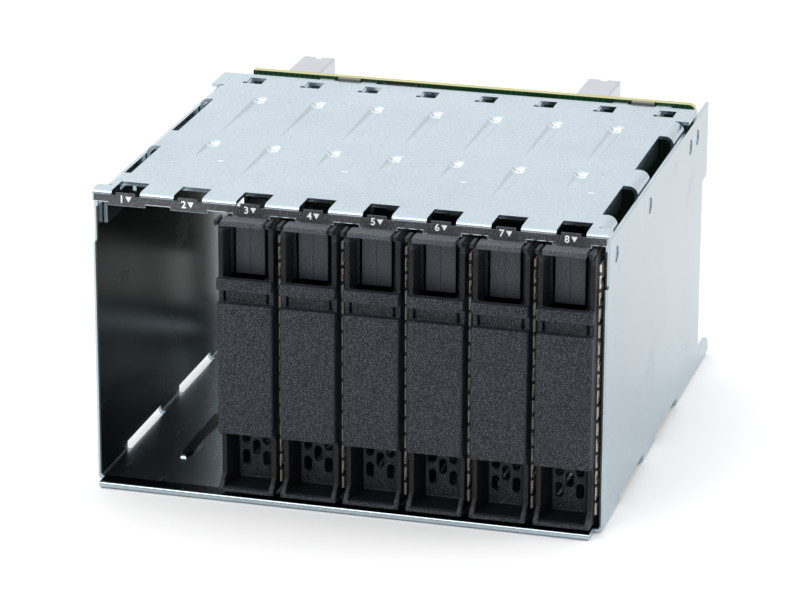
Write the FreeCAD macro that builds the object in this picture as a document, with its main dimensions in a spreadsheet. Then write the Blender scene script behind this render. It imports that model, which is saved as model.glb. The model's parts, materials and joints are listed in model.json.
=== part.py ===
import FreeCAD, Part
import Sketcher
import os
import re

# Hot swap drive cage: a folded steel tray and a folded steel cover hold eight upright bays for small
# form factor drives in front of a connector board. Six of the bays are closed by plastic blanks.
# X runs along the row of bays, +Y from the front to the back, +Z up. The origin lies on the underside
# of the floor, in the middle of the row, in the plane of the front flange.

os.makedirs("parts", exist_ok=True)
doc = FreeCAD.newDocument("DriveCage")
sheet = doc.addObject("Spreadsheet::Sheet", "Sizes")

drivingSizes = [
    # the row of bays and the two folded sheets
    ("bays", 8, "number of drive bays"),
    ("pitch", 17.6, "bay to bay"),
    ("gauge", 1.0, "steel sheet"),
    ("bendInside", 0.3, "inside radius of the folds"),
    ("cageHeight", 84.2, "underside of the floor to the top of the cover"),
    # tray
    ("lipReach", 6.5, "floor ahead of the front flange"),
    ("lipRelief", 2.4, "lip is shorter than the floor at each end"),
    ("hemDepth", 5.0, "hem folded back under the front lip"),
    ("hemRise", 0.8, "thickness of the folded hem layer"),
    ("wallDrop", 2.5, "top edge of the side walls below the top of the cover"),
    ("wallGap", 0.25, "flange to wall, and cover tab to wall"),
    ("wallBehind", 6.1, "rear edge of the side walls behind the board"),
    ("wallTabReach", 6.0, "upper rear tab of the wall behind its rear edge"),
    ("wallTabBottom", 59.4, "lower edge of that tab"),
    ("wallNose", 0.2, "lower front edge of the walls ahead of the flange"),
    ("wallStepDrop", 12.7, "that lower part ends this far below the top of the walls"),
    ("leftWallDrop", 3.7, "the left wall is lower than the right one beside the board"),
    ("leftWallAhead", 0.5, "front end of that lower part, ahead of the cover's rear edge"),
    ("floorBehind", 22.1, "rear edge of the floor behind the board"),
    ("earHeight", 6.5, "low ear of the wall at the rear"),
    ("earCorner", 5.0, "corner radius of the ear"),
    ("cornerSlotWide", 2.2, "slot in the floor beside the wall"),
    ("cornerSlotRise", 3.0, "slot cuts this far up the wall"),
    ("cornerSlotLong", 30.0, "length of the corner slot"),
    ("cornerSlotFront", 21.3, "front end of the first corner slot"),
    ("cornerSlotStep", 46.0, "first corner slot to the second"),
    # guide grooves pressed into both sheets at the bay borders
    ("grooveWide", 5.0, "width of a guide groove"),
    ("grooveDeep", 0.9, "depth of a guide groove"),
    ("grooveSlope", 50.0, "slope of its flanks from upright"),
    ("grooveStart", 0.05, "depth of a groove where it begins"),
    ("ridgeSlope", 30.0, "slope of the ridge on the other side"),
    ("frontGrooveFront", 36.5, "front end of the short front grooves"),
    ("floorGrooveFront", 17.5, "front end of the front grooves in the floor"),
    ("floorGrooveWide", 3.4, "width of the grooves in the floor"),
    ("longGrooveFront", 22.3, "front end of the two long front grooves"),
    ("frontGrooveRear", 51.5, "rear end of the front grooves"),
    ("rearGrooveFront", 60.0, "front end of the rear grooves"),
    ("rearGrooveMargin", 21.5, "rear end of the rear grooves ahead of the cover's rear edge"),
    # cover
    ("coverRear", 117.0, "rear edge of the cover"),
    ("flangeDeep", 3.3, "height of the front flange"),
    ("numberTabDrop", 0.8, "flange is lower at each bay number"),
    ("numberTabHalf", 5.25, "half width of that lower part"),
    ("frontBend", 1.2, "outside radius of the front bend"),
    ("frontStripRear", 5.0, "full width part of the cover behind the flange"),
    ("rearStripLong", 12.5, "full width part at the rear"),
    ("bendRelief", 0.6, "gap between those strips and the side bends"),
    ("sideBend", 2.6, "outside radius of the side bends"),
    ("tabDeep", 11.2, "lower edge of the side tabs below the top of the cover"),
    ("tabMargin", 4.0, "rear end of the side tabs behind the last rivet"),
    ("edgeSlotInset", 4.2, "side slot of the cover, inwards from its edge"),
    ("edgeSlotDeep", 5.2, "side slots cut this far down into the side tabs"),
    ("edgeSlotRelief", 1.5, "flange beside a slot is shorter at each end"),
    ("edgeSlotFlange", 5.0, "height of the flange folded down beside it"),
    ("frontSlotFront", 16.2, "front side slot, front end"),
    ("frontSlotRear", 42.0, "front side slot, rear end"),
    ("rearSlotFront", 57.0, "rear side slot, front end"),
    ("rearSlotMargin", 27.5, "rear side slot ends this far ahead of the cover's rear edge"),
    ("windowHalf", 4.05, "half width of a latch window"),
    ("windowRear", 8.5, "rear edge of a latch window"),
    ("windowDeep", 1.6, "a latch window cuts this far down into the flange"),
    ("rearWindowWide", 4.9, "width of a rear window"),
    ("rearWindowLong", 6.0, "length of a rear window"),
    ("rearWindowMargin", 9.3, "front edge of a rear window ahead of the cover's rear edge"),
    ("rearWindowLeft", 0.5, "left edge of a rear window, left of the bay centre"),
    ("reliefWide", 0.9, "relief notch at the front left corner of a rear window"),
    ("reliefLong", 1.4, "length of that notch"),
    ("lanceDrop", 1.6, "tongue bent down beside a rear window"),
    ("boardTabWide", 4.4, "one rear tab over the board"),
    ("boardTabGap", 0.2, "rear tabs to the board"),
    ("boardTabApart", 12.8, "centre distance of the two tabs of a pair"),
    ("boardTabCentre", 44.2, "pairs of rear tabs, out from the middle"),
    ("boardTabShift", 10.8, "pairs of rear tabs, to the right"),
    # label strip
    ("labelThick", 0.25, "label strip"),
    ("labelTabDrop", 0.3, "top edge of the strip in a window below the top of the cover"),
    ("labelTabHalf", 2.7, "half width of the strip's tab in a window"),
    ("labelInset", 0.5, "strip shorter than the flange at each end"),
    ("labelEdge", 0.3, "the strip leaves this much of the flange's lower edge bare"),
    ("labelLowHalf", 5.1, "half width of the strip's lower part at a bay number"),
    # connector board and what it carries
    ("boardBehind", 2.5, "front face of the board behind the cover's rear edge"),
    ("boardThick", 2.4, "board"),
    ("boardInsetLeft", 7.1, "left edge of the board to the left wall"),
    ("boardInsetRight", 0.2, "right edge of the board to the right wall"),
    ("boardBottom", 3.0, "lower edge of the board"),
    ("boardRise", 0.6, "upper edge of the board above the top of the cover"),
    ("boardCorner", 2.0, "corner radius of the board"),
    ("ventWide", 5.0, "air slots of the board between the bays"),
    ("ventCorner", 1.2, "clipped corners of an air slot"),
    ("ventLow", 8.0, "lower end of the air slots"),
    ("ventHigh", 26.0, "upper end of the air slots"),
    ("driveSocketWide", 5.2, "drive connector across the bay"),
    ("driveSocketDeep", 7.8, "drive connector ahead of the board"),
    ("driveSocketLow", 14.0, "lower end of a drive connector"),
    ("driveSocketHigh", 56.0, "upper end of a drive connector"),
    ("socketWall", 1.2, "wall of the connector housings"),
    ("signalSocketWide", 12.2, "rear signal connector, width"),
    ("signalSocketTall", 23.0, "rear signal connector, height"),
    ("signalSocketDeep", 9.5, "rear signal connector, depth"),
    ("signalSocketInset", 3.0, "right signal connector below the upper edge of the board"),
    ("signalSocketDrop", 3.8, "left signal connector sits lower than the right one"),
    ("signalSocketLeft", 17.6, "left signal connector, left of the middle"),
    ("signalSocketRight", 10.1, "right signal connector, right of the middle"),
    ("powerSocketWide", 24.0, "rear power connector, width"),
    ("powerSocketTall", 9.6, "rear power connector, height"),
    ("powerSocketDeep", 12.5, "rear power connector, depth"),
    ("powerSocketLow", 20.0, "lower edge of the power connector"),
    ("headerWide", 10.2, "front header at the top of the board, width"),
    ("headerInset", 0.5, "front header below the upper edge of the board"),
    ("headerWall", 0.6, "front header, wall"),
    ("headerTall", 7.0, "front header, height"),
    ("headerDeep", 2.2, "front header, depth"),
    ("headerCentre", 17.6, "front header, left of the middle"),
    ("clipWide", 6.6, "grip clip in front of the board, width"),
    ("clipThick", 1.4, "grip clip, thickness"),
    ("clipTall", 7.0, "grip clip, height"),
    ("clipInset", 0.05, "grip clip below the upper edge of the board"),
    # rear brackets
    ("bracketWide", 10.0, "rear bracket, width"),
    ("bracketReach", 18.6, "rear bracket behind the board"),
    ("bracketDrop", 14.0, "side walls of the rear bracket"),
    ("bracketFoot", 30.0, "foot of the bracket down the board"),
    ("bracketLeft", 49.2, "left bracket centre, left of the middle"),
    ("bracketRight", 38.65, "right bracket centre, right of the middle"),
    ("bracketInset", 0.75, "top face of the brackets below the upper edge of the board"),
    ("bracketFold", 0.6, "outside radius of the bracket's folds"),
    # fasteners
    ("rivetRadius", 2.3, "clinch rivet of the side tabs"),
    ("rivetRecess", 0.35, "its face lies below the outer side of the wall"),
    ("rivetMargin", 2.7, "rivets above the lower edge of the side tabs"),
    ("firstRivet", 10.0, "first rivet behind the flange"),
    ("middleRivet", 52.5, "middle rivet"),
    ("lastRivetMargin", 9.0, "last rivet ahead of the cover's rear edge"),
    ("dimpleAhead", 1.5, "round dimple of the right wall ahead of the board's front face"),
    ("studAcross", 3.6, "bracket rivet, across its flats"),
    ("studProud", 0.9, "bracket rivet, proud of both sides"),
    ("screwAcross", 2.9, "board screw, across its flats"),
    ("screwHeadAcross", 5.6, "board screw head, across its flats"),
    ("screwHeadTall", 1.7, "board screw head"),
    ("screwTail", 1.5, "board screw behind its lug"),
    ("fitGap", 0.05, "screw to its hole"),
    ("lugWide", 8.0, "upright lug of the floor behind the board"),
    ("lugTall", 12.0, "height of that lug"),
    ("lugInset", 3.3, "lugs inwards from the left edge of the board"),
    # blanks
    ("blankShift", 0.3, "blank sits left of the bay centre, its spring strip on the right"),
    ("blankGap", 1.05, "half of the gap between two blanks"),
    ("blankBottom", 3.0, "lower side of a blank"),
    ("blankInset", 5.2, "upper side of a blank below the top of the cover"),
    ("blankFront", 4.5, "face of the blank's frame ahead of the flange"),
    ("lowerFront", 3.2, "face of its lower frame ahead of the flange"),
    ("panelFront", 6.8, "face of the raised panel ahead of the flange"),
    ("panelBottom", 20.0, "lower edge of the raised panel"),
    ("neckTall", 3.7, "gap between the raised panel and the cross bar"),
    ("crossbarTall", 3.3, "height of the cross bar"),
    ("fingerRecessTall", 14.6, "height of the finger recess above the cross bar"),
    ("blankWall", 1.4, "side walls of the blank"),
    ("sideRear", 5.2, "rear end of the blank's upright sides"),
    ("cheekInset", 1.0, "cheeks behind the latch, inwards from the sides"),
    ("cheekRear", 22.0, "rear end of the cheeks and the roof"),
    ("roofFront", 6.5, "front end of the roof behind the latch"),
    ("roofDrop", 0.8, "roof below the upper side of the blank"),
    ("recessDeep", 2.4, "floor of the finger recess below the top of the cross bar"),
    ("recessLedge", 4.4, "rear side of the cross bar ahead of the flange"),
    ("panelRim", 0.5, "bevelled upright edges of the panel"),
    ("fingerBack", 0.2, "rear wall of the finger recess ahead of the flange"),
    ("fingerWall", 1.3, "thickness of that wall"),
    ("fingerNarrow", 1.1, "finger recess narrows to its rear on each side"),
    ("airBack", 3.5, "vented wall of the lower recess behind the flange"),
    ("airNarrow", 1.7, "lower recess narrows to its rear on each side"),
    ("airHoleWide", 2.0, "vent holes"),
    ("airHoleTall", 4.2, "vent holes"),
    ("airHoleAcross", 2.95, "vent columns"),
    ("airHoleUp", 6.4, "vent rows"),
    ("airHoleLow", 7.5, "lowest vent hole"),
    ("airHoleCorner", 0.6, "clipped corners of a vent hole"),
    ("railRear", 56.0, "rear end of the blank's rails"),
    ("railTall", 9.0, "height of the blank's rails"),
    ("railWall", 1.2, "wall of the blank's rails"),
    ("earFront", 8.3, "ears and latch bar ahead of the flange"),
    ("earRise", 0.9, "lower edge of the ears and the latch bar above the blank"),
    ("earTall", 1.4, "height of the ears and the latch bar"),
    ("earWide", 1.1, "width of an ear"),
    ("earBehind", 3.9, "rear side of the ears and the latch bar ahead of the flange"),
    # latch of a blank
    ("tongueHalf", 4.1, "half width of the latch tongue"),
    ("tongueSlit", 0.7, "slit beside the tongue"),
    ("tongueThick", 1.2, "thickness of the tongue"),
    ("hingeDrop", 1.6, "axis of the latch below the cross bar"),
    ("hingeRadius", 1.3, "root of the latch below its axis"),
    ("hingeGap", 0.2, "latch root to its seat"),
    ("barGap", 0.75, "latch bar to the ears"),
    ("hookReach", 3.2, "hook behind the tongue"),
    ("barRim", 0.35, "rounded front edge of the latch bar"),
    # spring strip of a blank
    ("stripThick", 0.2, "spring strip"),
    ("stripBottom", 4.8, "lower end of the spring strip"),
    ("stripFront", -0.2, "front edge of the strip ahead of the flange"),
    ("stripRear", 4.6, "rear edge of the strip behind the flange"),
    ("fingerCount", 13, "spring fingers"),
    ("stripInset", 3.4, "upper end of the spring strip below the upper side of the blank"),
    ("fingerTall", 3.6, "height of a finger"),
    ("fingerBulge", 0.75, "bulge of a finger"),
]

for row, (name, number, meaning) in enumerate(drivingSizes, start=1):
    sheet.set("A%d" % row, meaning)
    sheet.set("B%d" % row, str(number))
    sheet.setAlias("B%d" % row, name)
doc.recompute()
sizeNames = {name for name, number, meaning in drivingSizes}

# Sizes worked out from the driving ones; linked() puts each of them in the place of its name
workedOut = {
    "wallHeight": "cageHeight - wallDrop",
    "wallStep": "wallHeight - wallStepDrop",
    "leftWallTop": "wallHeight - leftWallDrop",
    "leftWallCut": "coverRear - leftWallAhead",
    "boardFront": "coverRear + boardBehind",
    "boardBack": "boardFront + boardThick",
    "wallRear": "boardBack + wallBehind",
    "floorRear": "boardBack + floorBehind",
    "flangeBottom": "cageHeight - flangeDeep",
    "tabBottom": "cageHeight - tabDeep",
    "edgeSlotBottom": "cageHeight - edgeSlotDeep",
    "windowSill": "cageHeight - windowDeep",
    "labelTabTop": "cageHeight - labelTabDrop",
    "rearStripFront": "coverRear - rearStripLong",
    "rearGrooveRear": "coverRear - rearGrooveMargin",
    "rearSlotRear": "coverRear - rearSlotMargin",
    "rearWindowFront": "coverRear - rearWindowMargin",
    "lastRivet": "coverRear - lastRivetMargin",
    "tabRear": "lastRivet + tabMargin",
    "rivetHeight": "tabBottom + rivetMargin",
    "wallDimple": "boardFront - dimpleAhead",
    "boardLeft": "bays * pitch / 2 - boardInsetLeft",
    "boardRight": "bays * pitch / 2 - boardInsetRight",
    "boardTop": "cageHeight + boardRise",
    "boardTabEnd": "boardFront - boardTabGap",
    "signalSocketTop": "boardTop - signalSocketInset",
    "headerTop": "boardTop - headerInset",
    "clipTop": "boardTop - clipInset",
    "bracketTop": "boardTop - bracketInset",
    "lugCentre": "boardLeft - lugInset",
    "lugHole": "lugTall - lugWide / 2",
    "blankHalf": "pitch / 2 - blankGap",
    "blankTop": "cageHeight - blankInset",
    "crossbarTop": "blankTop - fingerRecessTall",
    "crossbarBottom": "crossbarTop - crossbarTall",
    "panelTop": "crossbarBottom - neckTall",
    "recessFloor": "crossbarTop - recessDeep",
    "hingeHeight": "crossbarBottom - hingeDrop",
    "earBottom": "blankTop + earRise",
    "earTop": "earBottom + earTall",
    "barHalf": "blankHalf - earWide - barGap",
    "fingerPitch": "(blankTop - stripInset - stripBottom - fingerTall) / (fingerCount - 1)",
}
innerHalf = "(bays * pitch / 2)"
outerHalf = "(bays * pitch / 2 + gauge)"
tabOuter = "(bays * pitch / 2 - wallGap)"
tabInner = "(bays * pitch / 2 - wallGap - gauge)"
coverUnder = "(cageHeight - gauge)"
wallFront = "(gauge + wallGap)"
boardRear = "boardBack"
firstBay = "(pitch * (1 - bays) / 2)"
rowLength = "(pitch * (bays - 1))"
innerBorders = "(pitch * (bays - 2))"
firstBorder = "(pitch * (2 - bays) / 2)"
fold = "(bendInside + gauge)"
filledBays = [3, 4, 5, 6, 7, 8]


def linked(text):
    """The text of a size with every driving name tied to its cell in the sheet."""
    return re.sub(r"[A-Za-z]\w*", lambda word: tied(word.group()), str(text))


def tied(word):
    if word in workedOut:
        return "(%s)" % linked(workedOut[word])
    return "Sizes." + word if word in sizeNames else word


def amount(text):
    """The present value of a size in millimetres."""
    return float(sheet.evalExpression(linked(text)))


def newBody(label):
    body = doc.addObject("PartDesign::Body", label)
    body.Label = label
    return body


def originPart(body, role):
    return [part for part in body.Origin.OriginFeatures if part.Role == role][0]


def newSketch(body, name, plane, level):
    """An empty sketch parallel to one of the body's own planes, moved along its normal."""
    sketch = body.newObject("Sketcher::SketchObject", name)
    sketch.AttachmentSupport = (originPart(body, plane), "")
    sketch.MapMode = "FlatFace"
    sketch.setExpression("AttachmentOffset.Base.z", linked(level))
    return sketch


def tieCorner(sketch, edge, end, across, up):
    """Both coordinates of one end of an edge follow the sheet."""
    for kind, text in (("DistanceX", across), ("DistanceY", up)):
        limit = Sketcher.Constraint(kind, -1, 1, edge, end, amount(text))
        index = sketch.addConstraint(limit)
        sketch.setExpression("Constraints[%d]" % index, linked(text))


def drawOutline(sketch, corners):
    """A closed outline through corners. A corner of four sizes starts an arc about the centre that its
    last two sizes give; any other corner starts a straight run."""
    first = sketch.GeometryCount
    places = [FreeCAD.Vector(amount(corner[0]), amount(corner[1]), 0) for corner in corners]
    total = len(corners)
    for step, corner in enumerate(corners):
        start, end = places[step], places[(step + 1) % total]
        if len(corner) == 4:
            centre = FreeCAD.Vector(amount(corner[2]), amount(corner[3]), 0)
            outward = (start + end) * 0.5 - centre
            middle = centre + outward * ((start - centre).Length / outward.Length)
            sketch.addGeometry(Part.Arc(start, middle, end), False)
        else:
            sketch.addGeometry(Part.LineSegment(start, end), False)
    ends = []
    for step, corner in enumerate(corners):
        start, end = places[step], places[(step + 1) % total]
        forward = len(corner) < 4 or sketch.getPoint(first + step, 1).distanceToPoint(start) < 1e-6
        ends.append((1, 2) if forward else (2, 1))
    for step in range(total):
        following = (step + 1) % total
        meeting = (first + step, ends[step][1], first + following, ends[following][0])
        sketch.addConstraint(Sketcher.Constraint("Coincident", *meeting))
    for step, corner in enumerate(corners):
        tieCorner(sketch, first + step, ends[step][0], corner[0], corner[1])
        if len(corner) == 4:
            chord = places[(step + 1) % total] - places[step]
            upright = abs(chord.x) < abs(chord.y)
            kind, text = ("DistanceX", corner[2]) if upright else ("DistanceY", corner[3])
            index = sketch.addConstraint(Sketcher.Constraint(kind, -1, 1, first + step, 3, amount(text)))
            sketch.setExpression("Constraints[%d]" % index, linked(text))


def box(x0, x1, y0, y1):
    return [(x0, y0), (x1, y0), (x1, y1), (x0, y1)]


def clippedBox(x0, x1, y0, y1, corner):
    """A rectangle whose four corners are clipped."""
    return [("%s + %s" % (x0, corner), y0), ("%s - %s" % (x1, corner), y0), (x1, "%s + %s" % (y0, corner)),
            (x1, "%s - %s" % (y1, corner)), ("%s - %s" % (x1, corner), y1), ("%s + %s" % (x0, corner), y1),
            (x0, "%s - %s" % (y1, corner)), (x0, "%s + %s" % (y0, corner))]


def manySided(across, up, radius, sides, first=0, last=None):
    """Corners of a regular outline about a centre, or of the part of it between two of its corners."""
    last = sides - 1 if last is None else last
    turns = [360 / sides * step for step in range(first, last + 1)]
    return [("%s + %s * cos(%s)" % (across, radius, turn), "%s + %s * sin(%s)" % (up, radius, turn))
            for turn in turns]


def hexagon(across, up, flats):
    return manySided(across, up, "(%s) / sqrt(3)" % flats, 6)


def sketchBetween(body, name, plane, low, high):
    """A sketch at the low end of a range; the plane XZ faces forward, so it starts at the high end."""
    return newSketch(body, name, plane, "-(%s)" % high if plane == "XZ_Plane" else low)


def fill(body, name, plane, low, high, outlines, taper=0):
    """Adds material over the outlines between two levels across the plane."""
    sketch = sketchBetween(body, name + "Outline", plane, low, high)
    for corners in outlines:
        drawOutline(sketch, corners)
    return fillSketch(body, name, sketch, low, high, taper)


def fillSketch(body, name, sketch, low, high, taper=0):
    pad = body.newObject("PartDesign::Pad", name)
    pad.Profile = sketch
    pad.setExpression("Length", linked("(%s) - (%s)" % (high, low)))
    if taper:
        pad.setExpression("TaperAngle", linked(taper))
    return pad


def cut(body, name, plane, low, high, outlines):
    """Removes material over the outlines between two levels across the plane."""
    sketch = sketchBetween(body, name + "Outline", plane, low, high)
    for corners in outlines:
        drawOutline(sketch, corners)
    return cutSketch(body, name, sketch, low, high)


def cutSketch(body, name, sketch, low, high, taper=0):
    pocket = body.newObject("PartDesign::Pocket", name)
    pocket.Profile = sketch
    pocket.Reversed = True
    pocket.setExpression("Length", linked("(%s) - (%s)" % (high, low)))
    if taper:
        pocket.setExpression("TaperAngle", linked(taper))
    return pocket


def repeat(body, feature, axis, length, count):
    """Repeats one feature along an axis of the body."""
    pattern = body.newObject("PartDesign::LinearPattern", feature.Name + "Row")
    pattern.Originals = [feature]
    pattern.Direction = (originPart(body, axis), [""])
    pattern.setExpression("Length", linked(length))
    pattern.setExpression("Occurrences", linked(count))
    body.Tip = pattern
    return pattern


def roundEdges(body, name, radius, places, axis):
    """Rounds the edges along an axis whose middle lies at one of the places across it."""
    doc.recompute()
    base = body.Tip
    across = [index for index in range(3) if index != axis]
    wanted = [[amount(size) for size in place] for place in places]
    names = []
    for index, edge in enumerate(base.Shape.Edges, start=1):
        ends = [vertex.Point for vertex in edge.Vertexes]
        if len(ends) != 2 or edge.Curve.TypeId != "Part::GeomLine":
            continue
        if abs(ends[0][axis] - ends[1][axis]) < edge.Length - 1e-6:
            continue
        for place in wanted:
            if all(abs(ends[0][side] - size) < 1e-4 for side, size in zip(across, place)):
                names.append("Edge%d" % index)
                break
    if not names:
        raise RuntimeError("%s found no edge to round" % name)
    rounding = body.newObject("PartDesign::Fillet", name)
    rounding.Base = (base, names)
    rounding.setExpression("Radius", linked(radius))
    return rounding


# ---- tray: floor and both side walls, folded from one sheet ----
tray = newBody("cage_tray")
fill(tray, "TrayFold", "XZ_Plane", "-lipReach", "floorRear", [[
    ("-" + outerHalf, 0), (outerHalf, 0), (outerHalf, "wallHeight"), (innerHalf, "wallHeight"),
    (innerHalf, "gauge"), ("-" + innerHalf, "gauge"), ("-" + innerHalf, "wallHeight"),
    ("-" + outerHalf, "wallHeight")]])
roundEdges(tray, "TrayOuterBend", fold, [(outerHalf, 0), ("-" + outerHalf, 0)], 1)
roundEdges(tray, "TrayInnerBend", "bendInside", [(innerHalf, "gauge"), ("-" + innerHalf, "gauge")], 1)
frontCorner = [("-lipReach - 1", -1), ("-wallNose", -1), ("-wallNose", "wallStep"), (wallFront, "wallStep"),
               (wallFront, "wallHeight + 1"), ("-lipReach - 1", "wallHeight + 1")]
cut(tray, "TrayFrontCornerRight", "YZ_Plane", outerHalf + " - lipRelief", outerHalf + " + 1", [frontCorner])
cut(tray, "TrayFrontCornerLeft", "YZ_Plane", "-%s - 1" % outerHalf, "lipRelief - " + outerHalf,
    [frontCorner])
cut(tray, "TrayLeftWallTop", "YZ_Plane", "-%s - 1" % outerHalf, "-%s + 1" % innerHalf, [
    box("leftWallCut", "floorRear + 1", "leftWallTop", "wallHeight + 1")])
cut(tray, "TrayRearOutline", "YZ_Plane", "-%s - 1" % outerHalf, "%s + 1" % outerHalf, [[
    ("wallRear", "earHeight"), ("floorRear + 1", "earHeight"), ("floorRear + 1", "wallHeight + 1"),
    ("wallRear + wallTabReach", "wallHeight + 1"), ("wallRear + wallTabReach", "wallTabBottom"),
    ("wallRear", "wallTabBottom")]])
roundEdges(tray, "TrayEarCorner", "earCorner", [("floorRear", "earHeight")], 0)
fill(tray, "TrayHem", "XY_Plane", "gauge", "gauge + hemRise", [
    box("-(%s - lipRelief)" % outerHalf, "%s - lipRelief" % outerHalf, "-lipReach", "hemDepth - lipReach")])
roundEdges(tray, "TrayHemFold", "0.45 * (gauge + hemRise)",
           [("-lipReach", 0), ("-lipReach", "gauge + hemRise")], 0)


def cornerSlots(body):
    """Two slots on each side through the fold between floor and wall."""
    outlines = []
    for front in ("cornerSlotFront", "cornerSlotFront + cornerSlotStep"):
        for side in ("", "-"):
            outlines.append(box(side + "(%s - cornerSlotWide)" % outerHalf, side + "(%s + 1)" % outerHalf,
                                front, front + " + cornerSlotLong"))
    return cut(body, "TrayCornerSlots", "XY_Plane", -1, "cornerSlotRise", outlines)


cornerSlots(tray)


grooveRows = [("Front", "frontGrooveFront", "frontGrooveRear"),
              ("Rear", "rearGrooveFront", "rearGrooveRear")]
grooveFlank = "grooveDeep * tan(grooveSlope)"


def ridgeOutline(front, rear, half):
    """A bar along Y with a narrower front end and clipped rear corners."""
    middle = firstBorder
    return [("%s - %s / 2" % (middle, half), front), ("%s + %s / 2" % (middle, half), front),
            ("%s + %s" % (middle, half), "%s + %s * 2" % (front, half)),
            ("%s + %s" % (middle, half), "%s - %s / 2" % (rear, half)),
            ("%s + %s / 2" % (middle, half), rear), ("%s - %s / 2" % (middle, half), rear),
            ("%s - %s" % (middle, half), "%s - %s / 2" % (rear, half)),
            ("%s - %s" % (middle, half), "%s + %s * 2" % (front, half))]


def guideRidges(body, label, inner, inward, rows, wide):
    """Ridges at the bay borders that stand out from a sheet's inner surface."""
    for row, front, rear in rows:
        start = inner + " - %d * gauge / 2" % inward
        sketch = newSketch(body, label + row + "RidgeOutline", "XY_Plane", start)
        drawOutline(sketch, ridgeOutline(front, rear + " + gauge / 2", "(%s / 2 + gauge / 2)" % wide))
        ridge = body.newObject("PartDesign::Pad", label + row + "Ridge")
        ridge.Profile = sketch
        ridge.Reversed = inward < 0
        ridge.setExpression("Length", linked("grooveDeep + gauge / 2"))
        ridge.setExpression("TaperAngle", linked("-ridgeSlope"))
        repeat(body, ridge, "X_Axis", innerBorders, "bays - 1")


def grooveSection(body, name, middle, level, half, depth):
    """Cross section of a groove in the top sheet: wide at the surface, narrow at its floor."""
    sketch = newSketch(body, name, "XZ_Plane", "-(%s)" % level)
    floor = "(%s) * (1 - 0.5 * (%s) / grooveDeep)" % (half, depth)
    bottom = "cageHeight - " + depth
    drawOutline(sketch, [("%s - %s" % (middle, half), "cageHeight"), ("%s - %s" % (middle, floor), bottom),
                         ("%s + %s" % (middle, floor), bottom), ("%s + %s" % (middle, half), "cageHeight")])
    return sketch


def pressedGroove(body, name, middle, front, rear):
    """A groove that starts shallow and reaches its full depth near its rear end."""
    bend = "%s - grooveWide / 2 + %s" % (rear, grooveFlank)
    loft = body.newObject("PartDesign::SubtractiveLoft", name)
    loft.Profile = grooveSection(body, name + "Start", middle, front, "grooveWide / 4", "grooveStart")
    loft.Sections = [grooveSection(body, name + "End", middle, bend, "grooveWide * 0.45", "grooveDeep")]
    loft.Ruled = True
    return loft


def grooveScoop(body, name, middle, rear):
    """Round rear end of a groove: half a dish with sloping sides."""
    sketch = newSketch(body, name + "Outline", "XY_Plane", "cageHeight")
    centre, half = "(%s - grooveWide / 2)" % rear, "grooveWide / 2"
    drawOutline(sketch, manySided(middle, centre, half, 18, 0, 9))
    scoop = body.newObject("PartDesign::Pocket", name)
    scoop.Profile = sketch
    scoop.setExpression("Length", linked("grooveDeep"))
    scoop.setExpression("TaperAngle", linked("-grooveSlope"))
    return scoop


floorRows = [("Front", "floorGrooveFront", "frontGrooveRear"), grooveRows[1]]
guideRidges(tray, "Floor", "gauge", 1, floorRows, "floorGrooveWide")
for row, front, rear in floorRows:
    hollow = newSketch(tray, "Floor%sGrooveOutline" % row, "XY_Plane", "0")
    drawOutline(hollow, ridgeOutline(front, rear, "(floorGrooveWide / 2)"))
    pressed = tray.newObject("PartDesign::Pocket", "Floor%sGroove" % row)
    pressed.Profile = hollow
    pressed.Reversed = True
    pressed.setExpression("Length", linked("grooveDeep"))
    pressed.setExpression("TaperAngle", linked("-ridgeSlope"))
    repeat(tray, pressed, "X_Axis", innerBorders, "bays - 1")

for side in (-1, 1):
    centre = "%d * lugCentre" % side
    word = "Left" if side < 0 else "Right"
    fill(tray, "TrayLug" + word, "XZ_Plane", boardRear, boardRear + " + gauge", [
        box(centre + " - lugWide / 2", centre + " + lugWide / 2", "gauge / 2", "lugTall")])
    cut(tray, "TrayLugHole" + word, "XZ_Plane", boardRear + " - 1", boardRear + " + gauge + 1", [
        hexagon(centre, "lugHole", "(screwAcross + 2 * fitGap)")])

rivetPlaces = ["firstRivet", "middleRivet", "lastRivet"]
rivetOutlines = [manySided(place, "rivetHeight", "rivetRadius", 20) for place in rivetPlaces]
cut(tray, "TrayRivetHoles", "YZ_Plane", "-%s - 1" % outerHalf, outerHalf + " + 1", rivetOutlines)
cut(tray, "TrayDimple", "YZ_Plane", outerHalf + " - rivetRecess", outerHalf + " + 1", [
    manySided("wallDimple", "rivetHeight", "rivetRadius", 20)])

# ---- cover: top sheet with front flange and side tabs ----
cover = newBody("top_cover")
fill(cover, "CoverSheet", "XY_Plane", coverUnder, "cageHeight", [
    box("-(%s - sideBend)" % tabOuter, "%s - sideBend" % tabOuter, 0, "coverRear")])
fill(cover, "CoverFrontStrip", "XY_Plane", coverUnder, "cageHeight", [
    box("-" + outerHalf, outerHalf, 0, "frontStripRear")])
fill(cover, "CoverRearStrip", "XY_Plane", coverUnder, "cageHeight", [
    box("-" + outerHalf, outerHalf, "rearStripFront", "coverRear")])
fill(cover, "CoverFlange", "XZ_Plane", 0, "gauge", [
    box("-" + outerHalf, outerHalf, "flangeBottom", "cageHeight")])
roundEdges(cover, "CoverFrontBend", "frontBend", [(0, "cageHeight")], 0)
numberTab = fill(cover, "CoverNumberTab", "XZ_Plane", 0, "gauge", [
    box(firstBay + " - numberTabHalf", firstBay + " + numberTabHalf",
        "flangeBottom - numberTabDrop", "flangeBottom + gauge / 2")])
repeat(cover, numberTab, "X_Axis", rowLength, "bays")
bendCentre = ("(%s - sideBend)" % tabOuter, "cageHeight - sideBend")
sideTabs = []
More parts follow.
